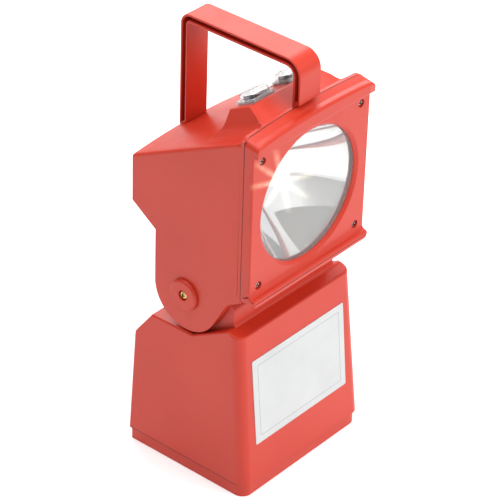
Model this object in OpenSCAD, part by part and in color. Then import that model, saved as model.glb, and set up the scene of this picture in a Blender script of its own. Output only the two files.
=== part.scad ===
// Rechargeable hand lamp: a square lamp head that tilts on a battery base, with a carrying handle on top.
// Millimetres, +Z up, the front faces -Y, and the origin is the middle of the underside.

/* [Base] */
// Width of the base shell at its lower edge
base_w = 134; // [124:1:150]
// Depth of the base shell at its lower edge
base_d = 113.4; // [106:0.2:124]
// Height of the bottom cover
cover_h = 10; // [8:0.5:14]
// Step by which the bottom cover stands back from the base shell
cover_step = 1.2; // [0.6:0.1:2]
// Thickness of the base walls
base_wall = 3; // [2.4:0.2:4]
// Backward lean of the front face, in degrees
front_lean = 5.5; // [3:0.1:6.5]
// Forward lean of the rear face, in degrees
rear_lean = 1.8; // [0.5:0.1:3]
// Inward lean of each side face, in degrees
side_lean = 1.85; // [1:0.05:2.2]
// Radius of the front upright edges
front_edge_r = 8; // [5:0.5:10]
// Radius of the rear upright edges
rear_edge_r = 2.5; // [1.5:0.5:4]
// Height at which the rear chamfer starts
rear_chamfer_z = 96; // [88:1:104]
// Distance of the crest from the pivot, towards the front
crest_reach = 40; // [36:1:43]
// Fall of the shoulder between the crest and the front face
shoulder_drop = 2.6; // [1:0.2:4]
// Slope of the ramp under the front of the ears, in degrees
ramp_angle = 29; // [24:1:31]

/* [Pivot] */
// Distance of the pivot behind the middle of the base
pivot_y = 7; // [4:0.5:9]
// Height of the pivot above the ground
pivot_z = 149.5; // [146:0.5:156]
// Radius of the round end of each ear
ear_r = 30; // [28:0.5:31]
// Clear gap between the ears and the base top
ear_gap = 1.2; // [0.8:0.1:2]
// Half the distance between the inner faces of the ears
ear_inner = 56; // [54:0.5:57]
// Gap between an ear and the neck, filled by a friction washer
washer_gap = 1; // [0.8:0.1:1.6]
// Radius of the pivot bush in the ear
bush_r = 9; // [7:0.5:10]
// Running clearance of the pivot bush
bush_clear = 0.06; // [0.03:0.01:0.1]
// Radius of the pivot cap
cap_r = 14.3; // [12:0.1:15]
// Thickness of the pivot cap
cap_t = 3.6; // [2.5:0.1:5]

/* [Head] */
// Width of the front frame
frame_w = 126.4; // [122:0.2:132]
// Height of the underside of the front frame
frame_z = 165.5; // [163:0.5:170]
// Height of the front frame
frame_h = 135.5; // [128:0.5:142]
// Thickness of the front frame without its rails
frame_t = 8; // [7:0.2:10]
// Distance of the seam between frame and shell from the pivot
seam_reach = 51.4; // [49:0.2:56]
// Depth of the head shell behind the seam
shell_d = 104.2; // [98:0.2:112]
// Thickness of the head shell
shell_wall = 3; // [2.4:0.2:3.6]
// Amount by which each side of the shell narrows towards the rear
shell_draft = 2.4; // [1:0.2:4]
// Slope of the shell top, in degrees
slope_angle = 26.9; // [22:0.1:30]
// Height of the shell top at the rear, on the centre line
slope_rear_z = 246; // [240:0.5:252]
// Radius of the crown across the shell top
crown_r = 600; // [400:10:1200]
// Height of the lower end of the rear wall
rear_wall_z = 205.5; // [200:0.5:210]
// Height at which the notch behind the head meets the lower wall
notch_z = 190.5; // [184:0.5:194]
// Depth of the rim behind the seam
rim_t = 3.2; // [2.4:0.2:4]

/* [Front] */
// Radius of the opening at the front of the frame
opening_r = 53.5; // [48:0.5:55]
// Height of the lamp axis
lamp_z = 230; // [226:0.5:234]
// Radius of the front glass
glass_r = 53.6; // [52:0.2:54]
// Thickness of the front glass
glass_t = 3; // [2:0.2:3.4]
// Height of the upper rail
top_rail_h = 14; // [10:0.5:15]
// Height of the lower rail
low_rail_h = 7; // [5:0.5:9]
// Distance by which the rails stand out
rail_out = 4.8; // [3:0.2:6]
// Half the spacing of the frame screws across
screw_x = 53.2; // [51:0.2:55]
// Half the spacing of the frame screws up and down
screw_z = 50.2; // [48:0.2:53]
// Focal length of the reflector
focal = 15; // [13:0.5:17]

/* [Handle] */
// Width of the handle strap
strap_w = 22.4; // [18:0.2:26]
// Thickness of the handle strap
strap_t = 6.4; // [5:0.2:8]
// Height of the top of the handle
handle_z = 336.7; // [330:0.5:350]
// Distance by which the handle stands out over the front frame
handle_over = 3.8; // [2:0.2:4.4]
// Thickness of the flanges and of the web
flange_t = 1.6; // [1.2:0.1:2.2]
// Outer radius of the front bend
front_bend_r = 13; // [10:0.5:18]
// Outer radius of the rear bend
rear_bend_r = 8.5; // [7.5:0.5:14]

/* [Switches] */
// Half the distance between the two switches
switch_x = 18.5; // [17:0.5:21]
// Length of a switch frame
switch_l = 25; // [23:0.5:28]
// Width of a switch frame
switch_w = 18; // [16:0.5:19]
// Height of the clear boot
boot_h = 7; // [6.5:0.5:10]
// Height of the switch platform above the shell top, square to it
platform_rise = 14; // [11:0.5:16]
// Length of the switch platform up the slope
platform_l = 20.4; // [19.6:0.2:24]
// Length of the switch platform across
platform_w = 73; // [66:1:78]
// Rest angle of a rocker, in degrees
rocker_tilt = 8; // [5:0.5:10]

/* [Inside] */
// Width of the battery
battery_w = 70; // [60:1:76]
// Depth of the battery
battery_d = 47; // [40:1:48]
// Height of the battery case
battery_h = 90; // [80:1:92]
// Width of the blank label
label_w = 102.6; // [80:0.2:106]
// Height of the blank label
label_h = 70.4; // [50:0.2:76]

/* [Hidden] */
$fn = 64;

// Shell and trim colours, as on the object
red = [0.86, 0.22, 0.16];
dark = [0.12, 0.12, 0.13];
steel = [0.72, 0.73, 0.75];
clear = [0.85, 0.88, 0.9, 0.5];

// Small amounts shared by many cuts: overrun of a cut, close fit and loose fit
over = 1;
fit = 0.05;
slip = 0.3;

// Screws: shank, head, counterbore gap and slot
m3_r = 1.5;
m3_head_r = 2.6;
m3_head_h = 2;
m4_r = 2;
m4_head_r = 3.2;
m4_head_h = 2.2;
bore_gap = 0.6;
slot_w = 0.8;
slot_deep = 1;

// Base outline at any height
half_w = base_w/2;
half_d = base_d/2;
hull_top = pivot_z - 5;
function side_x(z) = half_w - (z - cover_h)*tan(side_lean);
function front_y(z) = -(half_d - (z - cover_h)*tan(front_lean));
function rear_y(z) = half_d - (z - cover_h)*tan(rear_lean);

// Base top, worked out from the circle that the ears sweep
sweep_r = ear_r + ear_gap;
flat_z = pivot_z - sweep_r;
ramp_y = pivot_y - sweep_r*sin(ramp_angle);
ramp_z = pivot_z - sweep_r*cos(ramp_angle);
crest_y = pivot_y - crest_reach;
crest_z = ramp_z + (ramp_y - crest_y)*tan(ramp_angle);
shoulder_z = crest_z - shoulder_drop;
chamfer_slope = 0.74;
flat_end = rear_y(rear_chamfer_z) - chamfer_slope*(flat_z - rear_chamfer_z);
top_wall = 1.25*base_wall;
base_top = [
  [-base_d, 0], [-base_d, shoulder_z], [front_y(shoulder_z), shoulder_z], [crest_y, crest_z],
  [ramp_y, ramp_z], [pivot_y - sweep_r*tan(ramp_angle/2), flat_z], [flat_end, flat_z],
  [rear_y(rear_chamfer_z), rear_chamfer_z], [base_d, rear_chamfer_z], [base_d, 0]
];

// Neck between the ears
neck_x = ear_inner - washer_gap;
neck_wall = 5;
neck_drum_r = ear_r - 5;
neck_back = pivot_y - 2;
neck_top = pivot_z + 12;
neck_slant = 10;
boss_len = 14;
bush_deep = 6;
washer_r = bush_r + 5;

// Bottom cover: floor, lip inside the shell, gasket and screws
floor_t = 3;
lip_h = 4;
lip_in = base_wall + lip_h*tan(front_lean) + slip - cover_step;
gasket_out = 0.6;
rebate = 1.5;
cover_screw_x = half_w - 14;
cover_screw_front = -half_d + 13;
cover_screw_rear = half_d - 17;
cover_screw_l = 14;
cover_bore = 3;
post_r = 5;
post_gap = slip;
post_h = 10;
column_r = 6;

// Cover floor between the lips
floor_x = half_w - cover_step - lip_in - base_wall;
floor_y = half_d - cover_step - lip_in - base_wall;

// Battery with its terminals and strap, close to the rear lip
tab_w = 6.3;
tab_t = 0.8;
tab_h = 8;
tab_in = 4;
strap_band = 1.5;
strap_wide = 24;
strap_foot = 8;
strap_screw_in = 2.4;
strap_gap = 0.5;
battery_x = -5;
battery_y = floor_y - strap_gap - strap_band - fit - battery_d;

// Charger: transformer, board and the parts on it
core_w = 42;
core_d = 30;
core_h = 35;
core_leg = core_w/6;
coil_out = 4;
core_x = -floor_x + core_w/2 + 15;
core_y = -floor_y + strap_gap + coil_out + core_d/2;
board_x = core_x + core_w/2 + 3;
board_y = -floor_y + 4;
board_w = 36;
board_d = 32;
board_t = 1.6;
board_post_r = 2.5;
board_post_h = 5;
can_r = 4;
can_h = 16;
relay = [12, 10, 14];
bridge = [15, 6, 8];
sink = [14, 4, 20];

// Charging inlet in the rear wall
inlet_side = 20;
inlet_x = half_w - inlet_side;
inlet_z = 34;
inlet_w = 20;
inlet_h = 14;
inlet_deep = 16;
inlet_flange = 2;
flange_edge = 3;
socket_w = 16;
socket_h = 9;
socket_deep = 12;
pin_r = 1.2;
pin_gap = 8.6;
pin_short = 2;
pin_tail = 3;

// Label on the front face
label_z = 75.5;
label_t = 0.4;

// Head: seam, rear wall and the sloping top on the centre line
seam_y = pivot_y - seam_reach;
head_rear = seam_y + shell_d;
frame_top = frame_z + frame_h;
frame_front = seam_y - frame_t;
function slope_z(y) = slope_rear_z + (head_rear - y)*tan(slope_angle);
low_wall_y = pivot_y + ear_r;
diag_angle = 61;
chin_up = 26;
diag_y = pivot_y - ear_r*sin(diag_angle);
diag_z = pivot_z - ear_r*cos(diag_angle);
chin_y = diag_y - chin_up*cos(diag_angle);
chin_z = diag_z + chin_up*sin(diag_angle);
shell_half = frame_w/2;
shell_rear_half = shell_half - shell_draft;
function shell_x(y) = shell_half - shell_draft*(y - seam_y)/shell_d;
cavity_z = frame_z + 12;
inner_rear = head_rear - shell_wall;
frame_corner = 5;
rim_in = shell_wall + 0.4;

// Seat of the pivot cap on the ear
seat_cut = 0.2;
ear_seat = shell_x(pivot_y + cap_r) - seat_cut;
cap_clear = 0.2;
cap_edge = 1.2;
cap_bore = 2.8;
cap_foot = ear_seat + cap_clear;

// Screw bosses and gasket groove on the rim
boss_r = 4.5;
frame_boss_l = 14;
frame_screw_in = 10;
frame_bore = 3;
gasket_edge = 0.9;
gasket_wide = 1.6;
gasket_deep = 0.8;

// Switch platform on the slope
platform_y = seam_y + 28;
platform_lift = platform_rise/cos(slope_angle);
platform_half_run = platform_l/2*cos(slope_angle);
platform_front = platform_y - platform_half_run;
function platform_z(y) = slope_z(y) + platform_lift;
hump_half = platform_w/2;
hump_sweep_r = 18;
flank_angle = 60;
sweep_reach = hump_sweep_r*tan(flank_angle/2);
hump_end = hump_half + platform_rise/tan(flank_angle) + sweep_reach;
hump_sag = hump_end*hump_end/(2*crown_r);
sweep_sink = 0.2;
rim_sweep_r = 14;
rim_sweep_h = 6;
rail_sweep_r = 3;
rail_low_r = 2.2;

// Front stack: glass, gasket and reflector flange in the recess behind the frame
gasket_t = 1;
flange_plate = 1.2;
recess = glass_t + gasket_t + flange_plate;
recess_r = glass_r + 0.4;
glass_y = seam_y - recess;
gasket_y = glass_y + glass_t;
flange_y = gasket_y + gasket_t;
inner_r = opening_r - 2.5;
bevel = 2;
ring_t = 2;
ring_band = 5.5;
ring_out = recess_r + ring_band;
ring_screw_r = recess_r + 3.2;
ring_screw_in = 5;
mirror_r = inner_r - 0.5;
mirror_wall = 1.2;
ring_in = mirror_r + mirror_wall + 0.5;
bulb_hole = 8;
mirror_steps = 16;
mirror_radii = [for (i = [0:mirror_steps]) mirror_r + (bulb_hole - mirror_r)*i/mirror_steps];
function mirror_at(r) = (mirror_r*mirror_r - r*r)/(4*focal);

// Lamp holder and bulb on the axis
holder_y = flange_y + mirror_at(bulb_hole) + mirror_wall;
holder_r = 11;
holder_l = 22;
holder_plate_r = bulb_hole + 5;
holder_plate = 4;
bulb_r = 5;
bulb_l = 22;
bulb_tip = holder_y - 30;
bulb_base_r = 5.5;
bulb_seat = 6;
bulb_pin_r = 0.7;
bulb_pin_x = 2;
bulb_pin_l = 5;

// Handle legs, tongues and pins
handle_front = seam_y - handle_over;
handle_rear = head_rear;
foot_t = 2;
foot_gap = 2.4;
tongue_t = 1.6;
tongue_w = 16;
tongue_deep = 10;
front_tongue = seam_y + 1;
rear_tongue = inner_rear - slip - tongue_t;
pin_l = rim_t + fit;
pin_drop = shell_wall/cos(slope_angle) + m3_r + over;

// Switches: body, rocker, boot and the frame that holds the boot
plug_l = switch_l - 6;
plug_w = switch_w - 5;
plug_deep = 15;
plug_edge = 1;
body_lip = 1;
boot_lip = 0.8;
frame_skin = 1;
pocket_l = switch_l - 2;
pocket_w = switch_w - 1.4;
boot_l = plug_l + 0.6;
boot_w = plug_w + 0.6;
boot_wall = 1;
switch_corner = 2.5;
boot_corner = 3;
rocker_l = plug_l - 3;
rocker_w = plug_w - 3;
rocker_end = rocker_l/2 - 0.8;
rocker_axis = -1;
rocker_top = 5;
rocker_dip = 1;
rocker_low = 3.5;
rocker_skirt = 0.4;
rocker_well = 5;
axle_r = 1.5;
axle_short = 0.2;

// Prism across the lamp: the outline is in depth and height
module across(w) {
  rotate([90, 0, 90]) linear_extrude(height = w, center = true) children();
}

// Prism along the depth, from y to y + d: the outline is in width and height
module along(y, d) {
  translate([0, y + d, 0]) rotate([90, 0, 0]) linear_extrude(height = d) children();
}

// Prism upwards, from z to z + h
module upward(z, h) {
  translate([0, 0, z]) linear_extrude(height = h) children();
}

// Round bar across the lamp, from x to x + l
module bar_x(x, y, z, r, l) {
  translate([x, y, z]) rotate([0, 90, 0]) cylinder(r = r, h = l);
}

// Round bar along the depth, from y to y + l
module bar_y(x, y, z, r, l) {
  translate([x, y, z]) rotate([-90, 0, 0]) cylinder(r = r, h = l);
}

// Rectangle with round corners, between two corners
module round_rect(x0, y0, x1, y1, r) {
  translate([x0 + r, y0]) square([x1 - x0 - 2*r, y1 - y0]);
  translate([x0, y0 + r]) square([x1 - x0, y1 - y0 - 2*r]);
  for (x = [x0 + r, x1 - r], y = [y0 + r, y1 - r]) translate([x, y]) circle(r = r);
}

// Rectangle with round corners about the middle
module mid_rect(l, w, r) {
  round_rect(-l/2, -w/2, l/2, w/2, r);
}

// Box about the middle, from z to z + h
module mid_box(l, w, z, h) {
  translate([-l/2, -w/2, z]) cube([l, w, h]);
}

// Screw with a slotted pan head, its head upwards and the underside of the head at zero
module screw(r, l, head_r, head_h) {
  difference() {
    union() {
      translate([0, 0, -l]) cylinder(r = r, h = l);
      cylinder(r = head_r, h = head_h);
    }
    mid_box(2*(head_r + over), slot_w, head_h - slot_deep, slot_deep + over);
  }
}

// The two sides of the lamp
module both_sides() {
  children();
  mirror([1, 0, 0]) children();
}

// Leaning box of the base, drawn in by a margin on all upright faces
module base_block(margin, z0, z1) {
  fr = max(front_edge_r - margin, 1);
  rr = max(rear_edge_r - margin, 1);
  hull() for (z = [z0, z1], s = [-1, 1]) {
    translate([s*(side_x(z) - margin - fr), front_y(z) + margin + fr, z])
      cylinder(r = fr, h = 0.01, $fn = 48);
    translate([s*(side_x(z) - margin - rr), rear_y(z) - margin - rr, z])
      cylinder(r = rr, h = 0.01, $fn = 32);
  }
}

// Plan of the bottom cover, drawn in by a margin
module cover_plan(margin) {
  x = half_w - cover_step - margin;
  y = half_d - cover_step - margin;
  fr = max(front_edge_r - margin, 1);
  rr = max(rear_edge_r - margin, 1);
  translate([-x, -y + fr]) square([2*x, 2*y - fr - rr]);
  translate([-x + fr, -y]) square([2*(x - fr), 2*y - rr]);
  translate([-x + rr, 0]) square([2*(x - rr), y]);
  for (s = [-1, 1]) translate([s*(x - fr), -y + fr]) circle(r = fr);
  for (s = [-1, 1]) translate([s*(x - rr), y - rr]) circle(r = rr);
}

// Outline of the neck, in depth and height
module neck_outline(margin) {
  y0 = crest_y + margin;
  y1 = neck_back - margin;
  polygon([[y0, flat_z - 2*base_wall], [y0, pivot_z], [y0 + neck_slant, neck_top - margin],
    [y1, neck_top - margin], [y1, flat_z - 2*base_wall]]);
  translate([pivot_y, pivot_z]) circle(r = neck_drum_r - margin);
}

// Places of the two cover screws on the right side
module at_side_screws() {
  for (y = [cover_screw_front, cover_screw_rear]) translate([cover_screw_x, y, 0]) children();
}

// Round column that carries a cover screw, joined to the side wall
module cover_post() {
  translate([0, 0, cover_h + lip_h + post_gap]) {
    cylinder(r = post_r, h = post_h);
    translate([0, -post_r, 0]) cube([2*post_r + base_wall, 2*post_r, post_h]);
  }
}

module base_shell() {
  color(red) difference() {
    union() {
      difference() {
        intersection() {
          base_block(0, cover_h, hull_top);
          across(2*base_w) polygon(base_top);
        }
        intersection() {
          base_block(base_wall, cover_h - over, hull_top);
          translate([0, 0, -top_wall]) across(2*base_w) polygon(base_top);
        }
      }
      across(2*neck_x) neck_outline(0);
      intersection() {
        both_sides() at_side_screws() cover_post();
        base_block(base_wall/2, cover_h, hull_top);
      }
    }
    difference() {
      across(2*(neck_x - neck_wall)) neck_outline(neck_wall);
      both_sides() bar_x(neck_x - boss_len, pivot_y, pivot_z, bush_r + neck_wall, boss_len);
    }
    both_sides() {
      bar_x(neck_x - bush_deep, pivot_y, pivot_z, bush_r + fit, bush_deep + over);
      bar_x(neck_x - boss_len - over, pivot_y, pivot_z, m4_r + fit, boss_len + over);
      at_side_screws() translate([0, 0, cover_h]) cylinder(r = m3_r + fit, h = cover_screw_l);
    }
    upward(cover_h - over, rebate + over) cover_plan(gasket_out);
    at_inlet() translate([0, -base_wall, 0])
      cube([inlet_w + 2*fit, 4*base_wall, inlet_h + 2*fit], center = true);
  }
}

module bottom_cover() {
  color(red) difference() {
    union() {
      upward(0, cover_h) cover_plan(0);
      upward(0, cover_h + lip_h) cover_plan(lip_in);
    }
    difference() {
      upward(floor_t, cover_h + lip_h) cover_plan(lip_in + base_wall);
      both_sides() at_side_screws() cylinder(r = column_r, h = cover_h + lip_h + over);
      at_board_posts() cylinder(r = board_post_r, h = floor_t + board_post_h);
    }
    both_sides() at_side_screws() translate([0, 0, -over]) {
      cylinder(r = m3_r + slip, h = cover_h + lip_h + 2*over);
      cylinder(r = m3_head_r + bore_gap, h = cover_bore + over);
    }
    at_strap_screws() translate([0, 0, floor_t - strap_screw_in])
      cylinder(r = m3_r + fit, h = strap_screw_in + over);
  }
}

module cover_gasket() {
  color(dark) upward(cover_h, rebate - fit) difference() {
    cover_plan(gasket_out + fit);
    cover_plan(lip_in - fit);
  }
}

module cover_screws() {
  color(steel) both_sides() at_side_screws() translate([0, 0, cover_bore]) rotate([180, 0, 0])
    screw(m3_r, cover_screw_l + cover_h - cover_bore - over, m3_head_r, m3_head_h);
}

// Places of the two battery terminals, at the bottom of their recesses
module at_terminals() {
  for (s = [-1, 1])
    translate([battery_x + s*battery_w/4, battery_y + battery_d/4, floor_t + battery_h - tab_in])
      children();
}

module battery() {
  color(dark) difference() {
    translate([battery_x, battery_y + battery_d/2, 0]) mid_box(battery_w, battery_d, floor_t, battery_h);
    at_terminals() mid_box(2*tab_w, tab_w, 0, tab_in + over);
  }
}

module battery_terminals() {
  color(steel) at_terminals() mid_box(tab_w, tab_t, 0, tab_h);
}

// Outline of the strap over the battery, in depth and height
module strap_outline() {
  y0 = battery_y - fit;
  y1 = battery_y + battery_d + fit;
  top = floor_t + battery_h + fit;
  difference() {
    translate([y0 - strap_band, floor_t]) square([y1 - y0 + 2*strap_band, top - floor_t + strap_band]);
    translate([y0, floor_t - over]) square([y1 - y0, top - floor_t + over]);
  }
  translate([y0 - strap_foot, floor_t]) square([strap_foot, strap_band]);
}

// Places of the two strap screws on the cover floor
module at_strap_screws() {
  for (s = [-1, 1])
    translate([battery_x + s*strap_wide/4, battery_y - (strap_foot + strap_band)/2, 0]) children();
}

module battery_strap() {
  color(steel) difference() {
    translate([battery_x, 0, 0]) across(strap_wide) strap_outline();
    at_strap_screws() translate([0, 0, floor_t - over]) cylinder(r = m3_r + fit, h = strap_band + 2*over);
  }
}

module strap_screws() {
  color(steel) at_strap_screws() translate([0, 0, floor_t + strap_band])
    screw(m3_r, strap_band + strap_screw_in - fit, m3_head_r, m3_head_h);
}

module transformer_core() {
  color("dimgray") translate([core_x, core_y, floor_t]) difference() {
    mid_box(core_w, core_d, 0, core_h);
    for (s = [-1, 1]) translate([1.5*s*core_leg, 0, 0])
      mid_box(core_leg, core_d + 2*over, core_leg, core_h - 2*core_leg);
  }
}

module transformer_coil() {
  color("goldenrod") translate([core_x, core_y, floor_t]) difference() {
    mid_box(4*core_leg - 2*fit, core_d + 2*coil_out, core_leg + fit, core_h - 2*core_leg - 2*fit);
    mid_box(2*core_leg + 2*fit, core_d + 2*fit, 0, core_h);
  }
}

// Places of the four board posts
module at_board_posts() {
  for (x = [board_post_r, board_w - board_post_r], y = [board_post_r, board_d - board_post_r])
    translate([board_x + x, board_y + y, 0]) children();
}

module charger_board() {
  color("darkgreen") translate([board_x, board_y, floor_t + board_post_h])
    cube([board_w, board_d, board_t]);
}

module board_parts() {
  color("gray") translate([board_x, board_y, floor_t + board_post_h + board_t]) {
    for (x = [1.5*can_r, 4*can_r]) translate([x, board_d - 2*can_r, 0]) cylinder(r = can_r, h = can_h);
    translate([board_w - relay[0] - can_r/2, board_d - relay[1] - can_r, 0]) cube(relay);
    translate([can_r, can_r, 0]) cube(bridge);
    translate([board_w - sink[0] - can_r/2, can_r, 0]) cube(sink);
  }
}

// Frame of the charging inlet: the rear face is at zero depth
module at_inlet() {
  translate([inlet_x, rear_y(inlet_z), inlet_z]) rotate([rear_lean, 0, 0]) children();
}

module charge_inlet() {
  color(dark) at_inlet() difference() {
    union() {
      translate([-inlet_w/2, -inlet_deep, -inlet_h/2]) cube([inlet_w, inlet_deep, inlet_h]);
      translate([-inlet_w/2 - flange_edge, -base_wall - inlet_flange - fit, -inlet_h/2 - flange_edge])
        cube([inlet_w + 2*flange_edge, inlet_flange, inlet_h + 2*flange_edge]);
    }
    translate([-socket_w/2, -socket_deep, -socket_h/2]) cube([socket_w, socket_deep + over, socket_h]);
    for (s = [-1, 1]) bar_y(s*pin_gap/2, -inlet_deep - over, 0, pin_r + fit, inlet_deep);
  }
}

module inlet_pins() {
  color(steel) at_inlet() for (s = [-1, 1])
    bar_y(s*pin_gap/2, -inlet_deep - pin_tail, 0, pin_r, inlet_deep + pin_tail - pin_short);
}

module rating_label() {
  color("white") translate([0, front_y(label_z), label_z]) rotate([-front_lean, 0, 0])
    translate([-label_w/2, -label_t - fit, -label_h/2]) cube([label_w, label_t, label_h]);
}

// Pivot cap with its bush, on the right side
module pivot_cap() {
  color(red) difference() {
    union() {
      bar_x(neck_x - bush_deep + fit, pivot_y, pivot_z, bush_r, cap_foot - neck_x + bush_deep);
      bar_x(cap_foot, pivot_y, pivot_z, cap_r, cap_t - cap_edge);
      translate([cap_foot + cap_t - cap_edge, pivot_y, pivot_z]) rotate([0, 90, 0])
        cylinder(r1 = cap_r, r2 = cap_r - cap_edge, h = cap_edge);
    }
    bar_x(0, pivot_y, pivot_z, m4_r + slip, 2*ear_seat);
    bar_x(cap_foot + cap_t - cap_bore, pivot_y, pivot_z, m4_head_r + bore_gap, cap_bore + over);
  }
}

module pivot_cap_left() {
  mirror([1, 0, 0]) pivot_cap();
}

module pivot_cap_right() {
  pivot_cap();
}

module pivot_screws() {
  x = cap_foot + cap_t - cap_bore;
  color(steel) both_sides() translate([x, pivot_y, pivot_z]) rotate([0, 90, 0])
    screw(m4_r, x - neck_x + boss_len, m4_head_r, m4_head_h);
}

module friction_washers() {
  color("tan") both_sides() difference() {
    bar_x(neck_x + fit, pivot_y, pivot_z, washer_r, washer_gap - 2*fit);
    bar_x(neck_x - over, pivot_y, pivot_z, bush_r + slip, washer_gap + 2*over);
  }
}

// Side outline of the head shell, without rim and switch hump
module head_outline() {
  polygon([[seam_y, frame_z], [seam_y, slope_z(seam_y) + over], [head_rear, slope_rear_z + over],
    [head_rear, rear_wall_z], [low_wall_y, notch_z], [low_wall_y, pivot_z], [pivot_y, pivot_z],
    [diag_y, diag_z], [chin_y, chin_z]]);
  translate([pivot_y, pivot_z]) circle(r = ear_r);
}

// Plan of the head shell, drawn in by a margin on both sides
module head_plan(margin) {
  front = shell_half - margin;
  rear = shell_rear_half - margin;
  polygon([[-front, seam_y - over], [front, seam_y - over], [front, seam_y], [rear, head_rear],
    [-rear, head_rear], [-front, seam_y]]);
}

// Large round bar whose crest is the shell top, lowered by a margin
module crown(margin) {
  translate([0, head_rear, slope_rear_z - margin/cos(slope_angle)]) rotate([-slope_angle, 0, 0])
    bar_y(0, -2*shell_d, -crown_r, crown_r, 4*shell_d, $fn = 200);
}

// Outline of the front of the head, in width and height
module frame_outline(margin) {
  round_rect(-shell_half + margin, frame_z + margin, shell_half - margin, frame_top - margin, frame_corner);
}

// Hump that carries the switches, drawn in by a margin
module hump(margin) {
  drop = margin/cos(slope_angle);
  intersection() {
    across(2*frame_w) polygon([[seam_y + margin, frame_top - margin], [seam_y + rim_t, frame_top - margin],
      [platform_front, platform_z(platform_front) - drop], [head_rear, platform_z(head_rear) - drop],
      [head_rear, frame_z], [seam_y + margin, frame_z]]);
    at_slope() along(-shell_d, 2*shell_d) translate([0, -hump_sag]) both_sides()
      ridge_half(hump_half - margin, platform_rise + hump_sag, margin);
    around_crown() {
      translate([0, -sweep_sink]) ridge_half(platform_l/2 - margin, platform_rise + sweep_sink, margin);
      translate([-shell_d, -shell_wall/2 - margin]) square([shell_d, shell_d]);
    }
  }
}

// Sweep from the shell top up to the rim behind the seam
module rim_sweep() {
  reach = sqrt(2*rim_sweep_r*rim_sweep_h - rim_sweep_h*rim_sweep_h);
  intersection() {
    around_crown() translate([(seam_y - platform_y)/cos(slope_angle) + rim_t, -sweep_sink]) difference() {
      translate([0, -over]) square([reach, rim_sweep_h + over]);
      translate([reach, rim_sweep_r]) circle(r = rim_sweep_r, $fn = 128);
    }
    upward(0, frame_top) head_plan(0);
    along(seam_y, shell_d) frame_outline(0);
  }
}

// Frame on the shell top in front of the platform middle: the slope is at zero height
module at_slope() {
  translate([0, platform_y, platform_z(platform_y)]) rotate([-slope_angle, 0, 0])
    translate([0, 0, -platform_rise]) children();
}

// Ring round the axis of the crown: the outline is distance down the slope and height above the shell top
module around_crown() {
  at_slope() translate([0, 0, -crown_r]) rotate([-90, 0, 0]) rotate_extrude($fn = 200)
    translate([crown_r, 0]) mirror([1, -1]) children();
}

// Half outline of the hump above the slope: a flank that sweeps out into the shell top
module ridge_half(half, rise, margin) {
  foot = half + rise/tan(flank_angle);
  low = [foot + sweep_reach, 0];
  high = [foot - sweep_reach*cos(flank_angle), sweep_reach*sin(flank_angle)];
  translate([0, -shell_wall/2 - margin]) square([foot + sweep_reach, shell_wall/2 + margin]);
  polygon([[0, 0], [foot, 0], [half, rise], [half, frame_h], [0, frame_h]]);
  if (margin == 0) difference() {
    polygon([[foot, 0], low, high]);
    translate([low[0], hump_sweep_r]) circle(r = hump_sweep_r, $fn = 128);
  }
}

// Hollow of the head shell above the ears
module head_hollow() {
  intersection() {
    across(2*frame_w) polygon([[seam_y - over, cavity_z], [seam_y - over, 2*frame_top],
      [inner_rear, 2*frame_top], [inner_rear, rear_wall_z + shell_wall/2],
      [low_wall_y - shell_wall, notch_z + shell_wall/2], [low_wall_y - shell_wall, cavity_z]]);
    upward(0, 2*frame_top) head_plan(shell_wall);
    crown(shell_wall);
  }
}

// Places of the two frame screws on the right side
module at_frame_screws(y) {
  for (z = [lamp_z - screw_z, lamp_z + screw_z]) translate([screw_x, y, z]) children();
}

module head_shell() {
  color(red) difference() {
    union() {
      difference() {
        union() {
          intersection() {
            across(2*frame_w) head_outline();
            upward(0, 2*frame_top) head_plan(0);
            crown(0);
          }
          along(seam_y, rim_t) frame_outline(0);
          rim_sweep();
          hump(0);
        }
        head_hollow();
        hump(shell_wall);
        along(seam_y - over, rim_t + over) frame_outline(rim_in);
        translate([-ear_inner, seam_y + rim_t, 0])
          cube([2*ear_inner, low_wall_y - shell_wall - seam_y - rim_t, notch_z]);
        translate([-ear_inner, seam_y, 0]) cube([2*ear_inner, shell_d, pivot_z]);
      }
      intersection() {
        both_sides() at_frame_screws(seam_y) {
          rotate([-90, 0, 0]) cylinder(r = boss_r, h = frame_boss_l);
          translate([0, 0, -boss_r]) cube([shell_half, frame_boss_l, 2*boss_r]);
        }
        upward(0, 2*frame_top) head_plan(shell_wall/2);
      }
    }
    both_sides() {
      at_frame_screws(seam_y - over) rotate([-90, 0, 0])
        cylinder(r = m3_r + fit, h = frame_screw_in + over);
      bar_x(ear_inner - over, pivot_y, pivot_z, bush_r + bush_clear, shell_half);
      bar_x(ear_seat, pivot_y, pivot_z, cap_r + slip, shell_half);
    }
    along(seam_y - over, gasket_deep + over) difference() {
      frame_outline(gasket_edge);
      frame_outline(gasket_edge + gasket_wide);
    }
    for (side = [-1, 1]) at_switch(side)
      mid_box(plug_l + 2*fit, plug_w + 2*fit, -2*shell_wall, 4*shell_wall);
    for (y = [front_tongue, rear_tongue])
      translate([-tongue_w/2 - fit, y - fit, slope_rear_z - 4*shell_wall])
        cube([tongue_w + 2*fit, tongue_t + 2*fit, frame_h]);
  }
}

// Profile of a rail, in depth and height: a round nose that sweeps back into the frame on one side
module rail_outline(z, h, nose, side) {
  y = frame_front - rail_out;
  translate([y + nose, z]) square([rail_out - nose + over, h]);
  translate([y, z + nose]) square([rail_out + over, h - 2*nose]);
  for (dz = [nose, h - nose]) translate([y + nose, z + dz]) circle(r = nose);
  translate([frame_front, side > 0 ? z + h : z]) mirror([0, side > 0 ? 0 : 1]) difference() {
    translate([-rail_sweep_r, -over]) square([rail_sweep_r + over, rail_sweep_r + over]);
    translate([-rail_sweep_r, rail_sweep_r]) circle(r = rail_sweep_r);
  }
}

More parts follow.
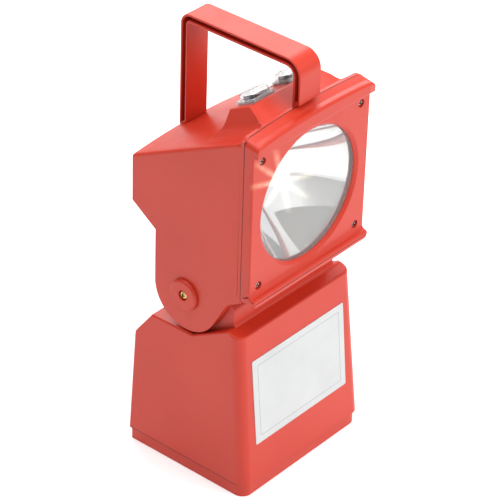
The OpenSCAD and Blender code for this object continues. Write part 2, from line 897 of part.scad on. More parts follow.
// Places of the three ring screws round the lamp axis
module at_ring_screws(y) {
  for (a = [30, 150, 270]) translate([ring_screw_r*cos(a), y, lamp_z + ring_screw_r*sin(a)]) children();
}

module front_frame() {
  color(red) difference() {
    union() {
      along(frame_front, frame_t) frame_outline(0);
      intersection() {
        across(frame_w) {
          rail_outline(frame_top - top_rail_h, top_rail_h, rail_out - rail_low_r, -1);
          rail_outline(frame_z, low_rail_h, rail_low_r, 1);
        }
        along(frame_front - 2*rail_out, frame_t + 2*rail_out) frame_outline(0);
      }
    }
    bar_y(0, frame_front - 2*rail_out, lamp_z, inner_r, frame_t + 4*rail_out);
    translate([0, frame_front - over, lamp_z]) rotate([-90, 0, 0])
      cylinder(r1 = opening_r + over*(opening_r - inner_r)/bevel, r2 = inner_r, h = bevel + over);
    bar_y(0, glass_y, lamp_z, recess_r, recess + over);
    both_sides() at_frame_screws(frame_front - over) rotate([-90, 0, 0]) {
      cylinder(r = m3_r + slip, h = frame_t + 2*over);
      cylinder(r = m3_head_r + bore_gap, h = frame_bore + over);
    }
    at_ring_screws(seam_y - ring_screw_in) rotate([-90, 0, 0])
      cylinder(r = m3_r + fit, h = ring_screw_in + over);
  }
}

module frame_screws() {
  color(steel) both_sides() at_frame_screws(frame_front + frame_bore) rotate([90, 0, 0])
    screw(m3_r, frame_t - frame_bore + frame_screw_in - fit, m3_head_r, m3_head_h);
}

module frame_gasket() {
  color(dark) along(seam_y, gasket_deep - fit) difference() {
    frame_outline(gasket_edge + fit);
    frame_outline(gasket_edge + gasket_wide - fit);
  }
}

module front_glass() {
  color(clear) bar_y(0, glass_y, lamp_z, glass_r, glass_t);
}

module glass_gasket() {
  color(dark) difference() {
    bar_y(0, gasket_y, lamp_z, glass_r, gasket_t);
    bar_y(0, gasket_y - over, lamp_z, inner_r, gasket_t + 2*over);
  }
}

module reflector() {
  front = [for (r = mirror_radii) [r, mirror_at(r)]];
  back = [for (i = [mirror_steps:-1:1]) front[i] + [mirror_wall, mirror_wall]];
  edge = [[mirror_r + mirror_wall, flange_plate], [glass_r, flange_plate], [glass_r, 0]];
  color("whitesmoke") translate([0, flange_y, lamp_z]) rotate([-90, 0, 0])
    rotate_extrude($fn = 96) polygon(concat(front, back, edge));
}

module retaining_ring() {
  color(steel) difference() {
    bar_y(0, seam_y, lamp_z, ring_out, ring_t);
    bar_y(0, seam_y - over, lamp_z, ring_in, ring_t + 2*over);
    at_ring_screws(seam_y - over) rotate([-90, 0, 0]) cylinder(r = m3_r + slip, h = ring_t + 2*over);
    translate([0, seam_y, 0]) mid_box(tongue_w + 2*slip, 4*ring_t, frame_top - tongue_deep - slip, frame_h);
  }
}

module ring_screws() {
  color(steel) at_ring_screws(seam_y + ring_t) rotate([-90, 0, 0])
    screw(m3_r, ring_t + ring_screw_in - fit, m3_head_r, m3_head_h);
}

module bulb() {
  color(clear) {
    bar_y(0, bulb_tip + bulb_r, lamp_z, bulb_r, bulb_l - bulb_r);
    translate([0, bulb_tip + bulb_r, lamp_z]) sphere(r = bulb_r);
  }
}

module bulb_base() {
  color("ivory") {
    bar_y(0, bulb_tip + bulb_l, lamp_z, bulb_base_r, holder_y + bulb_seat - bulb_tip - bulb_l);
    for (s = [-1, 1])
      bar_y(s*bulb_pin_x, holder_y + bulb_seat - over, lamp_z, bulb_pin_r, bulb_pin_l + over);
  }
}

module lamp_holder() {
  color("ivory") difference() {
    union() {
      bar_y(0, holder_y, lamp_z, holder_plate_r, holder_plate);
      bar_y(0, holder_y, lamp_z, holder_r, holder_l);
    }
    bar_y(0, holder_y - over, lamp_z, bulb_base_r + fit, bulb_seat + over);
    for (s = [-1, 1])
      bar_y(s*bulb_pin_x, holder_y, lamp_z, bulb_pin_r + fit, bulb_seat + bulb_pin_l + over);
  }
}

// Handle in side view, as a full block with two round upper corners, drawn in by a margin
module handle_outline(margin) {
  y0 = handle_front + margin;
  y1 = handle_rear - margin;
  z1 = handle_z - margin;
  fr = max(front_bend_r - margin, 0.5);
  rr = max(rear_bend_r - margin, 0.5);
  difference() {
    translate([y0, pivot_z]) square([y1 - y0, z1 - pivot_z]);
    translate([y0 - over, z1 - fr]) square([fr + over, fr + over]);
    translate([y1 - rr, z1 - rr]) square([rr + over, rr + over]);
  }
  translate([y0 + fr, z1 - fr]) circle(r = fr);
  translate([y1 - rr, z1 - rr]) circle(r = rr);
}

// Ground on which the handle stands: frame and rim at the front, the slope at the rear
module handle_ground(lift) {
  y1 = seam_y + rim_t;
  y2 = head_rear - 2*strap_t;
  polygon([[handle_front - over, 0], [handle_front - over, frame_top + foot_gap + lift],
    [seam_y + fit, frame_top + foot_gap + lift], [seam_y + fit, frame_top + lift], [y1, frame_top + lift],
    [y1, slope_rear_z], [y2, slope_rear_z], [y2, slope_z(y2) + lift],
    [head_rear + over, slope_z(head_rear + over) + lift], [head_rear + over, 0]]);
}

// Tongue that passes through the shell, with a hole for its pin
module handle_tongue(y, z) {
  difference() {
    translate([-tongue_w/2, y, z - tongue_deep]) cube([tongue_w, tongue_t, tongue_deep + foot_t]);
    bar_y(0, y - over, z - pin_drop, m3_r + fit, tongue_t + 2*over);
  }
}

module handle() {
  color(red) {
    difference() {
      across(strap_w) difference() {
        handle_outline(0);
        handle_outline(strap_t);
        handle_ground(0);
      }
      both_sides() translate([flange_t/2 + strap_w/2, 0, 0]) across(strap_w) difference() {
        handle_outline(flange_t);
        handle_outline(strap_t - flange_t);
        handle_ground(foot_t);
      }
    }
    handle_tongue(front_tongue, frame_top);
    handle_tongue(rear_tongue, slope_z(rear_tongue + tongue_t));
  }
}

module handle_pins() {
  color(steel) {
    bar_y(0, front_tongue - fit, frame_top - pin_drop, m3_r, pin_l);
    bar_y(0, rear_tongue + tongue_t + fit - pin_l, slope_z(rear_tongue + tongue_t) - pin_drop, m3_r, pin_l);
  }
}

// Frame of one switch: the platform surface is at zero height
module at_switch(side) {
  translate([side*switch_x, platform_y, platform_z(platform_y)]) rotate([-slope_angle, 0, 0]) children();
}

module switch_body(side) {
  color(dark) at_switch(side) difference() {
    union() {
      mid_box(plug_l, plug_w, -plug_deep, plug_deep + body_lip);
      mid_box(plug_l + 2*plug_edge, plug_w + 2*plug_edge, 0, body_lip);
    }
    mid_box(rocker_l + 2*slip, rocker_w + 2*slip, rocker_axis - rocker_well, 2*rocker_well);
    bar_y(0, -plug_w, rocker_axis, axle_r + bush_clear, 2*plug_w);
  }
}

module switch_body_left() {
  switch_body(-1);
}

module switch_body_right() {
  switch_body(1);
}

module rocker(side) {
  color(dark) at_switch(side) translate([0, 0, rocker_axis]) rotate([0, rocker_tilt, 0]) {
    along(-rocker_w/2, rocker_w) polygon([[-rocker_end, -rocker_skirt], [-rocker_end, rocker_top],
      [0, rocker_top - rocker_dip], [rocker_end, rocker_top], [rocker_end, -rocker_skirt],
      [axle_r, -rocker_low], [-axle_r, -rocker_low]]);
    bar_y(0, -plug_w/2 + axle_short, 0, axle_r, plug_w - 2*axle_short);
  }
}

module rocker_left() {
  rocker(-1);
}

module rocker_right() {
  rocker(1);
}

module boot_frame(side) {
  pocket = body_lip + boot_lip;
  color(dark) at_switch(side) difference() {
    upward(0, pocket + frame_skin) mid_rect(switch_l, switch_w, switch_corner);
    upward(-over, pocket + over) mid_rect(pocket_l + 2*fit, pocket_w + 2*fit, switch_corner - plug_edge/2);
    upward(0, pocket + frame_skin + over) mid_rect(boot_l + 2*fit, boot_w + 2*fit, boot_corner);
  }
}

module boot_frame_left() {
  boot_frame(-1);
}

module boot_frame_right() {
  boot_frame(1);
}

module switch_boot(side) {
  color(clear) at_switch(side) difference() {
    union() {
      upward(body_lip, boot_lip) mid_rect(pocket_l, pocket_w, switch_corner - plug_edge/2);
      upward(body_lip, boot_h) mid_rect(boot_l, boot_w, boot_corner);
    }
    upward(body_lip - over, boot_h + over - boot_wall)
      mid_rect(boot_l - 2*boot_wall, boot_w - 2*boot_wall, boot_corner - boot_wall);
  }
}

module switch_boot_left() {
  switch_boot(-1);
}

module switch_boot_right() {
  switch_boot(1);
}

base_shell();
bottom_cover();
cover_gasket();
cover_screws();
battery();
battery_terminals();
battery_strap();
strap_screws();
transformer_core();
transformer_coil();
charger_board();
board_parts();
charge_inlet();
inlet_pins();
rating_label();
pivot_cap_left();
pivot_cap_right();
pivot_screws();
friction_washers();
head_shell();
front_frame();
frame_screws();
frame_gasket();
front_glass();
glass_gasket();
reflector();
retaining_ring();
ring_screws();
bulb();
bulb_base();
lamp_holder();
handle();
handle_pins();
switch_body_left();
switch_body_right();
rocker_left();
rocker_right();
boot_frame_left();
boot_frame_right();
switch_boot_left();
switch_boot_right();
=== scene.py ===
import bmesh
import bpy
import math
from mathutils import Matrix, Vector


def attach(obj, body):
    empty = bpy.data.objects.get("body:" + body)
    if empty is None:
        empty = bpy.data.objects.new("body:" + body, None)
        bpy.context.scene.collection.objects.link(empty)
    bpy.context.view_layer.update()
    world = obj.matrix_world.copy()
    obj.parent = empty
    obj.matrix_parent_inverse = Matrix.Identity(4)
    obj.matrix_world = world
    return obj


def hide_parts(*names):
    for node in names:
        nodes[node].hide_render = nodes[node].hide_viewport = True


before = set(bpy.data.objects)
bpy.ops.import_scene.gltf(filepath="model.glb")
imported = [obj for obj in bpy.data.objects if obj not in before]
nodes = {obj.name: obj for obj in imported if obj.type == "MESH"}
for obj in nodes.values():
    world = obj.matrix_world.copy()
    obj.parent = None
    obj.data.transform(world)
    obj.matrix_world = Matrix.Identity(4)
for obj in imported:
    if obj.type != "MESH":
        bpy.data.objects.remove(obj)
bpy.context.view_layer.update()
scene = bpy.context.scene
mm = 0.001
print("frame loaded:", len(nodes), "nodes")


# small helpers for node materials
def startMaterial(name):
    mat = bpy.data.materials.new(name)
    mat.use_nodes = True
    tree = mat.node_tree
    shader = tree.nodes["Principled BSDF"]
    coord = tree.nodes.new("ShaderNodeTexCoord")
    return mat, tree, shader, coord.outputs["Object"]


def noiseNode(tree, where, scale, detail=3.0, rough=0.55):
    tex = tree.nodes.new("ShaderNodeTexNoise")
    tex.inputs["Scale"].default_value = scale
    tex.inputs["Detail"].default_value = detail
    tex.inputs["Roughness"].default_value = rough
    tree.links.new(where, tex.inputs["Vector"])
    return tex.outputs["Fac"]


def rampNode(tree, source, stops):
    ramp = tree.nodes.new("ShaderNodeValToRGB")
    cells = ramp.color_ramp.elements
    while len(cells) < len(stops):
        cells.new(0.5)
    for cell, (at, colour) in zip(cells, stops):
        cell.position = at
        cell.color = (*colour, 1.0)
    tree.links.new(source, ramp.inputs["Fac"])
    return ramp.outputs["Color"]


def spanNode(tree, source, low, high, outLow, outHigh):
    span = tree.nodes.new("ShaderNodeMapRange")
    for name, value in (("From Min", low), ("From Max", high), ("To Min", outLow), ("To Max", outHigh)):
        span.inputs[name].default_value = value
    tree.links.new(source, span.inputs["Value"])
    return span.outputs["Result"]


def bumpNode(tree, source, strength, distance, under=None):
    bump = tree.nodes.new("ShaderNodeBump")
    bump.inputs["Strength"].default_value = strength
    bump.inputs["Distance"].default_value = distance
    tree.links.new(source, bump.inputs["Height"])
    if under is not None:
        tree.links.new(under, bump.inputs["Normal"])
    return bump.outputs["Normal"]


# moulded plastic: slow colour drift, light scuffs in the gloss and a fine moulded grain
def mouldedPlastic(name, look):
    mat, tree, shader, where = startMaterial(name)
    drift = noiseNode(tree, where, look["driftScale"], 4)
    colour = rampNode(tree, drift, [(0.3, look["dark"]), (0.7, look["light"])])
    tree.links.new(colour, shader.inputs["Base Color"])
    scuff = noiseNode(tree, where, look["scuffScale"], 6, 0.7)
    tree.links.new(spanNode(tree, scuff, 0.3, 0.75, look["gloss"], look["dull"]), shader.inputs["Roughness"])
    peel = bumpNode(tree, noiseNode(tree, where, look["peelScale"], 2), look["peel"], 0.0004)
    grain = bumpNode(tree, noiseNode(tree, where, look["grainScale"], 2), look["grain"], 0.0001, peel)
    tree.links.new(grain, shader.inputs["Normal"])
    shader.inputs["Specular IOR Level"].default_value = look["specular"]
    return mat


# drawn, plated or cast metal: fine streaks in the gloss
def workedMetal(name, look):
    mat, tree, shader, where = startMaterial(name)
    tone = noiseNode(tree, where, look["toneScale"], 4)
    tree.links.new(rampNode(tree, tone, [(0.3, look["dark"]), (0.7, look["light"])]), shader.inputs["Base Color"])
    streak = noiseNode(tree, where, look["streakScale"], 5, 0.7)
    tree.links.new(spanNode(tree, streak, 0.3, 0.7, look["gloss"], look["dull"]), shader.inputs["Roughness"])
    tree.links.new(bumpNode(tree, streak, look["bump"], 0.0001), shader.inputs["Normal"])
    shader.inputs["Metallic"].default_value = look["metal"]
    return mat


# see-through sheet: more solid towards its edges, with faint smears in the gloss
def clearSheet(name, look):
    mat, tree, shader, where = startMaterial(name)
    smear = noiseNode(tree, where, look["smearScale"], 4)
    tree.links.new(rampNode(tree, smear, [(0.2, look["dark"]), (0.8, look["light"])]), shader.inputs["Base Color"])
    tree.links.new(spanNode(tree, smear, 0.3, 0.8, look["gloss"], look["dull"]), shader.inputs["Roughness"])
    facing = tree.nodes.new("ShaderNodeLayerWeight")
    facing.inputs["Blend"].default_value = look["blend"]
    alpha = spanNode(tree, facing.outputs["Facing"], 0.0, 1.0, look["thin"], look["thick"])
    tree.links.new(alpha, shader.inputs["Alpha"])
    tree.links.new(bumpNode(tree, smear, look["wave"], 0.0005), shader.inputs["Normal"])
    shader.inputs["Specular IOR Level"].default_value = look["specular"]
    shader.inputs["Transmission Weight"].default_value = look["transmit"]
    shader.inputs["IOR"].default_value = look["bend"]
    mat.surface_render_method = "BLENDED"
    return mat


shellRed = mouldedPlastic("shellRed", dict(
    dark=(0.52, 0.031, 0.013), light=(0.57, 0.038, 0.017), driftScale=14, scuffScale=55, gloss=0.32, dull=0.44,
    peelScale=420, peel=0.05, grainScale=2600, grain=0.12, specular=0.38))
rockerBlack = mouldedPlastic("rockerBlack", dict(
    dark=(0.018, 0.018, 0.02), light=(0.035, 0.035, 0.038), driftScale=60, scuffScale=160, gloss=0.14, dull=0.3,
    peelScale=600, peel=0.05, grainScale=3000, grain=0.15, specular=0.5))
# near-black rubber for the two seal rings, which paint the shade lines of the seams
gasketShadeRubber = mouldedPlastic("gasketShadeRubber", dict(
    dark=(0.012, 0.010, 0.010), light=(0.028, 0.022, 0.022), driftScale=90, scuffScale=200, gloss=0.6, dull=0.85,
    peelScale=500, peel=0.08, grainScale=2400, grain=0.2, specular=0.3))
batteryGrey = mouldedPlastic("batteryGrey", dict(
    dark=(0.07, 0.075, 0.08), light=(0.11, 0.115, 0.12), driftScale=30, scuffScale=90, gloss=0.4, dull=0.6,
    peelScale=400, peel=0.06, grainScale=2200, grain=0.15, specular=0.4))
holderIvory = mouldedPlastic("holderIvory", dict(
    dark=(0.62, 0.57, 0.44), light=(0.74, 0.69, 0.56), driftScale=60, scuffScale=140, gloss=0.35, dull=0.6,
    peelScale=500, peel=0.08, grainScale=1800, grain=0.2, specular=0.4))
boardGreen = mouldedPlastic("boardGreen", dict(
    dark=(0.02, 0.10, 0.04), light=(0.035, 0.17, 0.07), driftScale=120, scuffScale=300, gloss=0.3, dull=0.5,
    peelScale=700, peel=0.1, grainScale=2600, grain=0.2, specular=0.5))
partsGrey = mouldedPlastic("partsGrey", dict(
    dark=(0.10, 0.11, 0.13), light=(0.22, 0.23, 0.26), driftScale=150, scuffScale=200, gloss=0.3, dull=0.55,
    peelScale=500, peel=0.06, grainScale=2600, grain=0.15, specular=0.5))
coilWrap = mouldedPlastic("coilWrap", dict(
    dark=(0.42, 0.24, 0.05), light=(0.60, 0.38, 0.10), driftScale=80, scuffScale=220, gloss=0.3, dull=0.5,
    peelScale=900, peel=0.2, grainScale=2600, grain=0.3, specular=0.5))
washerFibre = mouldedPlastic("washerFibre", dict(
    dark=(0.22, 0.16, 0.10), light=(0.33, 0.25, 0.16), driftScale=120, scuffScale=300, gloss=0.7, dull=0.9,
    peelScale=900, peel=0.2, grainScale=2600, grain=0.4, specular=0.2))
ringRubber = mouldedPlastic("ringRubber", dict(
    dark=(0.20, 0.020, 0.010), light=(0.28, 0.030, 0.016), driftScale=60, scuffScale=160, gloss=0.4, dull=0.6,
    peelScale=500, peel=0.05, grainScale=2400, grain=0.1, specular=0.4))
labelWhite = mouldedPlastic("labelWhite", dict(
    dark=(0.52, 0.53, 0.53), light=(0.57, 0.58, 0.58), driftScale=30, scuffScale=120, gloss=0.28, dull=0.40,
    peelScale=300, peel=0.03, grainScale=2600, grain=0.06, specular=0.5))
labelLine = mouldedPlastic("labelLine", dict(
    dark=(0.22, 0.23, 0.25), light=(0.34, 0.35, 0.37), driftScale=400, scuffScale=300, gloss=0.4, dull=0.55,
    peelScale=300, peel=0.03, grainScale=2600, grain=0.06, specular=0.4))
zincSteel = workedMetal("zincSteel", dict(
    dark=(0.50, 0.48, 0.42), light=(0.74, 0.72, 0.66), toneScale=500, streakScale=900, gloss=0.16, dull=0.36,
    bump=0.1, metal=1.0))
# near-black finish for the screw recesses: painted shade in their hollows
recessShade = workedMetal("recessShade", dict(
    dark=(0.02, 0.018, 0.015), light=(0.07, 0.06, 0.05), toneScale=600, streakScale=900, gloss=0.4, dull=0.7,
    bump=0.1, metal=0.6))
contactBrass = workedMetal("contactBrass", dict(
    dark=(0.55, 0.38, 0.12), light=(0.78, 0.58, 0.22), toneScale=300, streakScale=700, gloss=0.2, dull=0.4,
    bump=0.1, metal=1.0))
coreIron = workedMetal("coreIron", dict(
    dark=(0.16, 0.16, 0.17), light=(0.28, 0.28, 0.30), toneScale=200, streakScale=1500, gloss=0.35, dull=0.6,
    bump=0.3, metal=1.0))
brightMirror = workedMetal("brightMirror", dict(
    dark=(0.80, 0.80, 0.80), light=(0.87, 0.87, 0.87), toneScale=40, streakScale=160, gloss=0.035, dull=0.075,
    bump=0.012, metal=1.0))
clearGlass = clearSheet("clearGlass", dict(
    dark=(0.90, 0.93, 0.93), light=(0.97, 0.98, 0.98), smearScale=40, gloss=0.02, dull=0.05, blend=0.2,
    thin=0.03, thick=0.5, wave=0.01, specular=0.5, transmit=0.0, bend=1.5))
clearBoot = clearSheet("clearBoot", dict(
    dark=(0.86, 0.87, 0.88), light=(0.96, 0.96, 0.96), smearScale=220, gloss=0.02, dull=0.06, blend=0.35,
    thin=0.75, thick=1.0, wave=0.04, specular=0.8, transmit=0.97, bend=1.35))
clearFlange = clearSheet("clearFlange", dict(
    dark=(0.74, 0.75, 0.76), light=(0.90, 0.90, 0.90), smearScale=260, gloss=0.08, dull=0.22, blend=0.35,
    thin=0.12, thick=0.66, wave=0.3, specular=0.8, transmit=0.3, bend=1.4))
bulbGlass = clearSheet("bulbGlass", dict(
    dark=(0.93, 0.93, 0.90), light=(1.0, 1.0, 0.97), smearScale=120, gloss=0.02, dull=0.05, blend=0.3,
    thin=0.04, thick=0.5, wave=0.02, specular=0.6, transmit=0.0, bend=1.5))
print("finishes made:", len(bpy.data.materials))


# mesh helpers
def settle(obj, body, replaced=()):
    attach(obj, body)
    if replaced:
        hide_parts(*replaced)


def meshObject(name, bm, mats, angle=32):
    mesh = bpy.data.meshes.new(name)
    bmesh.ops.recalc_face_normals(bm, faces=bm.faces)
    bm.to_mesh(mesh)
    bm.free()
    for mat in mats:
        mesh.materials.append(mat)
    for face in mesh.polygons:
        face.use_smooth = True
    mesh.set_sharp_from_angle(angle=math.radians(angle))
    obj = bpy.data.objects.new(name, mesh)
    scene.collection.objects.link(obj)
    return obj


def joinRings(bm, low, high, matIndex=0):
    for i in range(len(low)):
        j = (i + 1) % len(low)
        bm.faces.new((low[i], low[j], high[j], high[i])).material_index = matIndex


# rows of points joined into a skin; each row is a closed ring
def skinRings(bm, rings, capFirst=True, capLast=True, matIndex=0, joinEnds=False):
    made = [[bm.verts.new(p) for p in ring] for ring in rings]
    for low, high in list(zip(made, made[1:])) + ([(made[-1], made[0])] if joinEnds else []):
        joinRings(bm, low, high, matIndex)
    for use, ring in ((capFirst, made[0][::-1]), (capLast, made[-1])):
        if use and not joinEnds:
            bm.faces.new(ring).material_index = matIndex
    return made


def turnedRing(radius, height, place, count=64, shape=None):
    ring = []
    for i in range(count):
        a = 2 * math.pi * i / count
        r = radius * (shape(a) if shape else 1.0)
        ring.append(place @ Vector((r * math.cos(a), r * math.sin(a), height)))
    return ring


# where a turned piece stands: its own z axis points along the given direction
def standAt(origin, direction):
    turn = Vector((0, 0, 1)).rotation_difference(Vector(direction)).to_matrix().to_4x4()
    return Matrix.Translation(Vector(origin) * mm) @ turn @ Matrix.Scale(mm, 4)


# where an upright plate stands: its own x runs across, y up the plate and z to the front
def uprightAt(y, z, lean=0.0):
    turn = Matrix.Rotation(math.radians(-lean), 4, "X") @ Matrix.Rotation(math.radians(90), 4, "X")
    return Matrix.Translation(Vector((0, y, z)) * mm) @ turn @ Matrix.Scale(mm, 4)


def arcSteps(cx, cy, radius, start, end, steps):
    return [(cx + radius * math.cos(math.radians(start + (end - start) * i / steps)),
             cy + radius * math.sin(math.radians(start + (end - start) * i / steps))) for i in range(steps + 1)]


def cornerRing(halfW, halfH, radius, depth, place, steps=5):
    ring = []
    for cx, cy, start in ((1, 1, 0), (-1, 1, 90), (-1, -1, 180), (1, -1, 270)):
        for x, y in arcSteps(cx * (halfW - radius), cy * (halfH - radius), radius, start, start + 90, steps):
            ring.append(place @ Vector((x, y, depth)))
    return ring


def between(value, low, high):
    return min(max((value - low) / (high - low), 0.0), 1.0)


# the top of shell rim and front frame is crowned: its ends lie lower than its middle
crownLook = dict(radius=600.0, rimLow=295.5, rimFull=299.5, frameLow=286.0, frameFull=296.0,
                 fadeFrom=-40.0, fadeTo=-34.0, cutStep=8.0, cuts=7, above=287.0, before=-36.0)


def crownDrop(x, y, z, low, full):
    fade = between(-y, -crownLook["fadeTo"], -crownLook["fadeFrom"])
    return x * x / (2 * crownLook["radius"]) * between(z, low, full) * fade


def inCrown(face):
    return (max(v.co.z for v in face.verts) > crownLook["above"] * mm
            and min(v.co.y for v in face.verts) < crownLook["before"] * mm)


# extra edges where a plane meets the chosen faces
def cutFaces(bm, chosen, point, normal):
    faces = [f for f in bm.faces if chosen(f)]
    parts = set(faces) | {e for f in faces for e in f.edges} | {v for f in faces for v in f.verts}
    bmesh.ops.bisect_plane(bm, geom=list(parts), dist=0.00001, plane_co=Vector(point) * mm, plane_no=normal)


def crownTop(bm, low, full):
    for i in range(-crownLook["cuts"], crownLook["cuts"] + 1):
        cutFaces(bm, inCrown, (i * crownLook["cutStep"], 0, 0), (1, 0, 0))
    for vert in bm.verts:
        vert.co.z -= crownDrop(*(vert.co / mm), low, full) * mm
    bmesh.ops.triangulate(bm, faces=[f for f in bm.faces if inCrown(f)], ngon_method="EAR_CLIP")


shellLook = dict(weld=0.000004, flat=0.6, crease=24.0, smooth=30.0)  # metres, then degrees


# copy of a packed shell; pick gives the radius in mm of each edge that is eased, as a mould leaves it
def easedShell(node, name, mat, pick=None, segments=4, shape=None):
    bm = bmesh.new()
    bm.from_mesh(nodes[node].data)
    bmesh.ops.remove_doubles(bm, verts=bm.verts, dist=shellLook["weld"])
    bmesh.ops.dissolve_limit(bm, angle_limit=math.radians(shellLook["flat"]), verts=bm.verts, edges=bm.edges)
    if shape:
        shape(bm)
    wanted = {}
    if pick:
        weight = bm.edges.layers.float.new("bevel_weight_edge")
        for edge in bm.edges:
            if len(edge.link_faces) != 2 or edge.calc_face_angle(0.0) < math.radians(shellLook["crease"]):
                continue
            middle = (edge.verts[0].co + edge.verts[1].co) / 2 / mm
            wanted[edge] = pick(edge, middle, edge.link_faces[0].normal, edge.link_faces[1].normal)
    widest = max(wanted.values(), default=0)
    for edge, radius in wanted.items():
        edge[weight] = radius / widest
    obj = meshObject(name, bm, [mat], shellLook["smooth"])
    if widest:
        ease = obj.modifiers.new("ease", "BEVEL")
        ease.limit_method = "WEIGHT"
        ease.width = widest * mm
        ease.segments = segments
        ease.use_clamp_overlap = False
    even = obj.modifiers.new("even", "WEIGHTED_NORMAL")
    even.keep_sharp = True
    return obj


# base body: the first row is the eased edges, the second where they lie, the third how its faces lean
baseLook = dict(topEdge=1.4, seamEdge=0.35,
                seamTop=11.0, seamWide=65.0, seamDeep=54.5, shoulder=88.0, flank=55.5,
                foot=10.0, halfDeep=56.7, frontLean=5.5, rearLean=1.8)


def baseFront(height):
    return -baseLook["halfDeep"] + (height - baseLook["foot"]) * math.tan(math.radians(baseLook["frontLean"]))


def baseRear(height):
    return baseLook["halfDeep"] - (height - baseLook["foot"]) * math.tan(math.radians(baseLook["rearLean"]))


def pickBase(edge, at, n1, n2):
    look = baseLook
    if not edge.is_convex:
        return 0
    if at.z < look["seamTop"]:
        return look["seamEdge"] if abs(at.x) > look["seamWide"] or abs(at.y) > look["seamDeep"] else 0
    overSide = max(n1.z, n2.z) > 0.2 and abs(at.x) > look["flank"]
    overEnd = max(abs(n1.y), abs(n2.y)) > 0.5 and max(abs(n1.x), abs(n2.x)) < 0.3
    return look["topEdge"] if at.z > look["shoulder"] and (overSide or overEnd) else 0


settle(easedShell("base_shell", "baseBody", shellRed, pickBase), "base", ["base_shell"])
settle(easedShell("bottom_cover", "baseCover", shellRed), "base", ["bottom_cover"])

# seal of the cover, seen as a thin line along the sides and the rear: a near-black ring that paints the shade line
# under the base's overhang
coverGasketShadeLook = dict(low=10.2, high=10.8, halfWide=66.996, frontCorner=8.0, rearCorner=2.5, deep=1.4,
                     behindFront=0.06, behindRear=0.004, steps=10)


def coverGasketShadeRing(height, inset):
    look = coverGasketShadeLook
    frontR, rearR, wide = look["frontCorner"], look["rearCorner"], look["halfWide"] - inset
    front = baseFront(height) + look["behindFront"] + inset + frontR
    rear = baseRear(height) - look["behindRear"] - inset - rearR
    ring = []
    for side, middle, r, start in ((1, rear, rearR, 0), (-1, rear, rearR, 90),
                                   (-1, front, frontR, 180), (1, front, frontR, 270)):
        for x, y in arcSteps(side * (wide - r), middle, r, start, start + 90, look["steps"]):
            ring.append(Vector((x, y, height)) * mm)
    return ring


bm = bmesh.new()
skinRings(bm, [coverGasketShadeRing(coverGasketShadeLook[level], inset) for level, inset in (
    ("low", coverGasketShadeLook["deep"]), ("low", 0), ("high", 0), ("high", coverGasketShadeLook["deep"]))], joinEnds=True)
settle(meshObject("coverGasketShade", bm, [gasketShadeRubber]), "base", ["cover_gasket"])
print("base made")


# head shell: headLook is its eased edges, headPlan where its parts lie
headLook = dict(sideTop=2.2, edge=1.0, ear=0.7, seam=0.5, hump=0.9, capSeat=12.5)
headPlan = dict(front=-44.4, rear=59.8, top=297.6, foot=165.5, halfWide=63.2, taper=2.4, slopeFoot=246.0, slope=26.9,
                rimBack=-39.0, rimFoot=280.0, roof=240.0, earTop=200.0, earIn=57.0, earOut=58.5,
                humpRear=5.0, humpTall=3.0, switchWide=30.0, switchFront=-20.0, switchRear=-9.0,
                pivotY=7.0, pivotZ=149.5, seatFrom=14.2, seatTo=15.2)


def pickHead(edge, at, n1, n2):
    look, plan = headLook, headPlan
    if not edge.is_convex:
        return 0
    side = plan["halfWide"] - plan["taper"] * (at.y - plan["front"]) / (plan["rear"] - plan["front"])
    atSide = abs(at.x) > side - 0.3
    if at.y < plan["front"] + 0.4:
        return look["seam"] if atSide or at.z > plan["top"] - 0.2 or at.z < plan["foot"] + 0.5 else 0
    if at.y < plan["rimBack"] and at.z > plan["rimFoot"]:
        return 0
    if math.hypot(at.y - plan["pivotY"], at.z - plan["pivotZ"]) < look["capSeat"] + 1.5:
        return 0
    if atSide:
        sideFace, other = (n1, n2) if abs(n1.x) > abs(n2.x) else (n2, n1)
        if abs(sideFace.x) < 0.9:
            return 0
        if other.z > 0.6 and at.z > plan["roof"]:
            return look["sideTop"]
        return look["ear"] if at.z < plan["earTop"] else look["edge"]
    if at.y > plan["rear"] - 0.4:
        return look["edge"]
    slopeZ = plan["slopeFoot"] + (plan["rear"] - at.y) * math.tan(math.radians(plan["slope"]))
    onHump = at.z > slopeZ + plan["humpTall"] and at.y < plan["humpRear"]
    bySwitch = abs(at.x) <= plan["switchWide"] and plan["switchFront"] <= at.y <= plan["switchRear"]
    return look["hump"] if onHump and not bySwitch else 0


rimLook = dict(beside=46.9, cornerX=54.8, cornerZ=292.6, corner=5.0, back=-41.2)  # lower edge behind the rim


# the seat of the pivot cap closes round the cap, and the rim closes on the shell top
def shapeHead(bm):
    plan, rim = headPlan, rimLook
    for vert in bm.verts:
        away = Vector((vert.co.y / mm - plan["pivotY"], vert.co.z / mm - plan["pivotZ"]))
        if abs(vert.co.x) > plan["earIn"] * mm and plan["seatFrom"] < away.length < plan["seatTo"]:
            away *= headLook["capSeat"] / away.length
            vert.co.y, vert.co.z = (away.x + plan["pivotY"]) * mm, (away.y + plan["pivotZ"]) * mm
    bm.normal_update()
    earSides = [f for f in bm.faces if abs(f.normal.x) > 0.9 and abs(f.calc_center_median().x) > plan["earOut"] * mm]
    bmesh.ops.triangulate(bm, faces=earSides, ngon_method="EAR_CLIP")
    for side in (-1, 1):
        cutFaces(bm, inCrown, (side * rim["beside"], 0, 0), (1, 0, 0))
    for vert in bm.verts:
        x, y, z = abs(vert.co.x) / mm, vert.co.y / mm, vert.co.z / mm
        overX, overZ = x - rim["cornerX"], z - rim["cornerZ"]
        straight = x > rim["beside"] - 0.05 and overX < 0.1 and abs(overZ - rim["corner"]) < 0.05
        rounded = overX > -0.1 and overZ > -0.1 and abs(math.hypot(overX, overZ) - rim["corner"]) < 0.06
        if abs(y - rim["back"]) < 0.1 and (straight or rounded):
            vert.co.z = rim["cornerZ"] * mm
    crownTop(bm, crownLook["rimLow"], crownLook["rimFull"])


headShell = easedShell("head_shell", "headShell", shellRed, pickHead, shape=shapeHead)
settle(headShell, "head", ["head_shell"])


